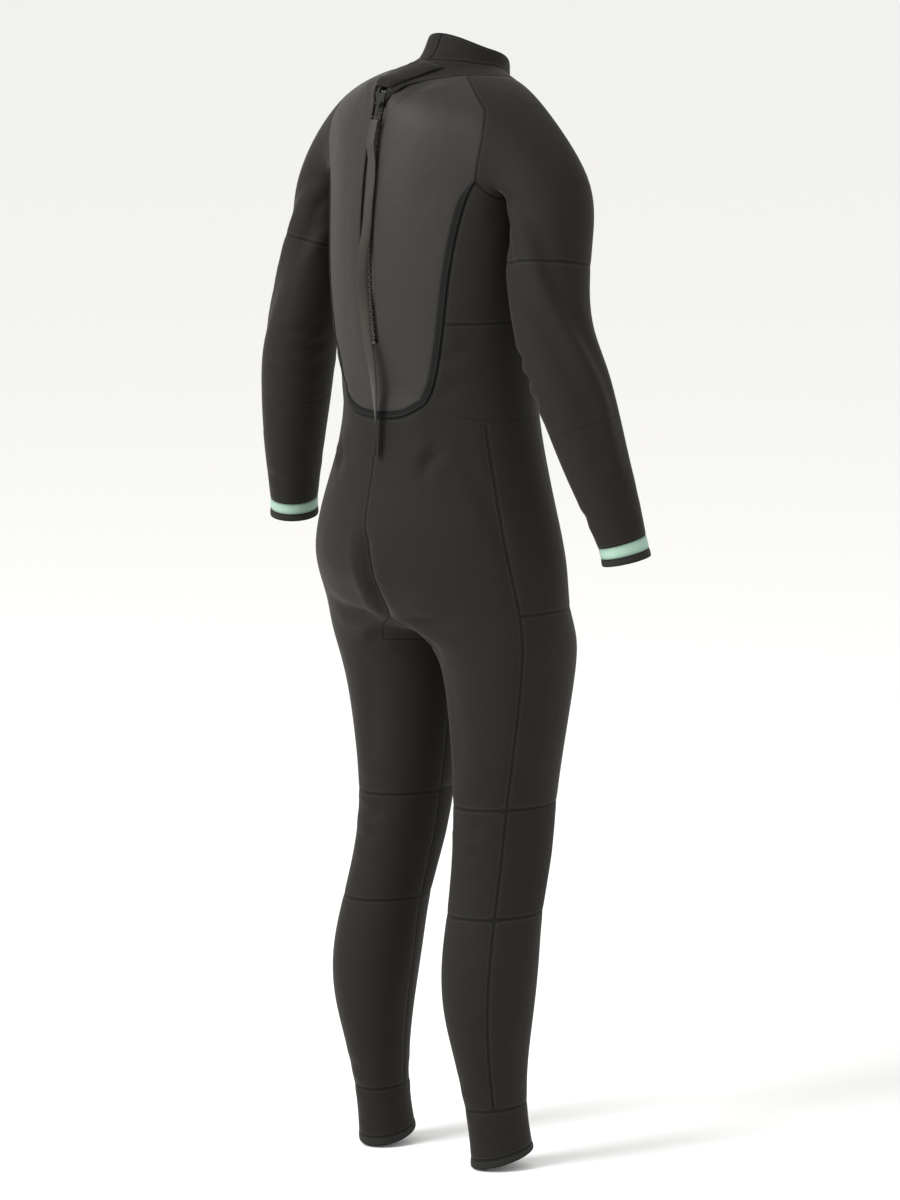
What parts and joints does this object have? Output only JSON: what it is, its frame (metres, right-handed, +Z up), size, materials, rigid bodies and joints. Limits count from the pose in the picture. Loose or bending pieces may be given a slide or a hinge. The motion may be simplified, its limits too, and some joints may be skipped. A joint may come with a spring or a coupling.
{
  "type": "full wetsuit",
  "caption": "Full-length back-zip wetsuit with long sleeves and legs, standing collar, closing flap, grey back panel, pull leash and coloured wrist bands.",
  "frame": {"origin": "middle of the neck opening, at the foot of the standing collar", "axes": "+Z up along the body, -Y towards the wearer's front, +X towards the wearer's left"},
  "size_m": [0.669, 0.2749, 1.4888],
  "materials": {
    "neoprene_black": "matte knit-faced neoprene",
    "neoprene_dark": "matte knit-faced neoprene",
    "smoothskin_grey": "smooth-skin neoprene with a soft sheen",
    "mint_print": "smooth printed neoprene band",
    "knee_pad": "textured abrasion-resistant neoprene",
    "seam_tape": "black binding tape",
    "zip_tape": "woven polyester",
    "zip_plastic": "moulded acetal",
    "slider_metal": "black lacquered die-cast",
    "ribbon": "woven nylon ribbon",
    "hook_loop": "hook-and-loop tape"
  },
  "bodies": {
    "torso": {"back_panel": "smoothskin_grey", "back_panel_binding": "seam_tape", "chest_panel": "neoprene_black", "abdomen_panel": "neoprene_black", "crotch_gusset": "neoprene_dark", "side_panel_left": "neoprene_black", "waist_side_left": "neoprene_black", "raglan_shoulder_left": "neoprene_black", "elbow_section_left": "neoprene_black", "seat_thigh_left": "neoprene_black", "front_thigh_left": "neoprene_black", "knee_pad_left": "knee_pad", "knee_back_left": "neoprene_black", "side_panel_right": "neoprene_black", "waist_side_right": "neoprene_black", "raglan_shoulder_right": "neoprene_black", "elbow_section_right": "neoprene_black", "seat_thigh_right": "neoprene_black", "front_thigh_right": "neoprene_black", "knee_pad_right": "knee_pad", "knee_back_right": "neoprene_black", "neck_yoke": "neoprene_dark", "standing_collar": "neoprene_dark", "zip_tape_left": "zip_tape", "zip_teeth_left": "zip_plastic", "zip_top_stop_left": "zip_plastic", "zip_tape_right": "zip_tape", "zip_teeth_right": "zip_plastic", "zip_top_stop_right": "zip_plastic", "zip_bottom_stop": "zip_plastic", "zip_guard": "neoprene_dark", "loop_patch": "hook_loop"},
    "forearm_l": {"forearm_left": "neoprene_black", "wrist_band_left": "mint_print", "wrist_hem_left": "neoprene_dark"},
    "forearm_r": {"forearm_right": "neoprene_black", "wrist_band_right": "mint_print", "wrist_hem_right": "neoprene_dark"},
    "shin_l": {"shin_left": "neoprene_black", "calf_left": "neoprene_black", "ankle_cuff_left": "neoprene_black", "ankle_hem_left": "neoprene_dark"},
    "shin_r": {"shin_right": "neoprene_black", "calf_right": "neoprene_black", "ankle_cuff_right": "neoprene_black", "ankle_hem_right": "neoprene_dark"},
    "slider": {"zip_slider": "slider_metal"},
    "puller": {"zip_puller": "slider_metal"},
    "leash": {"pull_leash": "ribbon"},
    "flap": {"collar_flap": "neoprene_dark", "hook_patch": "hook_loop"}
  },
  "joints": [
    {"name": "elbow_left", "type": "hinge", "parent": "torso", "child": "forearm_l", "pos_m": [0.238, 0.066, -0.361], "axis": [-1, 0, 0], "range_deg": [0, 95], "stiffness_Nm_per_rad": 0.5, "deforming": ["elbow_section_left"]},
    {"name": "knee_left", "type": "hinge", "parent": "torso", "child": "shin_l", "pos_m": [0.093, 0.032, -1.036], "axis": [1, 0, 0], "range_deg": [0, 80], "stiffness_Nm_per_rad": 0.8, "deforming": ["knee_pad_left", "knee_back_left"]},
    {"name": "elbow_right", "type": "hinge", "parent": "torso", "child": "forearm_r", "pos_m": [-0.238, 0.066, -0.361], "axis": [-1, 0, 0], "range_deg": [0, 95], "stiffness_Nm_per_rad": 0.5, "deforming": ["elbow_section_right"]},
    {"name": "knee_right", "type": "hinge", "parent": "torso", "child": "shin_r", "pos_m": [-0.093, 0.032, -1.036], "axis": [1, 0, 0], "range_deg": [0, 80], "stiffness_Nm_per_rad": 0.8, "deforming": ["knee_pad_right", "knee_back_right"]},
    {"name": "zip_run", "type": "hinge", "parent": "torso", "child": "slider", "pos_m": [0, -0.513, -0.231], "axis": [-1, 0, 0], "range_deg": [0, 24.98], "deforming": ["pull_leash"]},
    {"name": "puller_swing", "type": "hinge", "parent": "slider", "child": "puller", "pos_m": [0, 0.16388, -0.04108], "axis": [1, 0, 0], "range_deg": [0, 60], "deforming": ["pull_leash"]},
    {"name": "leash_swing", "type": "hinge", "parent": "puller", "child": "leash", "pos_m": [0, 0.17077, -0.06491], "axis": [1, 0, 0], "range_deg": [0, 40], "deforming": ["pull_leash"]},
    {"name": "flap_peel", "type": "hinge", "parent": "torso", "child": "flap", "pos_m": [0, 0.07297, 0.00878], "axis": [1, 0, 0], "range_deg": [0, 90]}
  ],
  "couplings": [
    {"joint": "leash_swing", "follows": "zip_run", "ratio": 1}
  ]
}
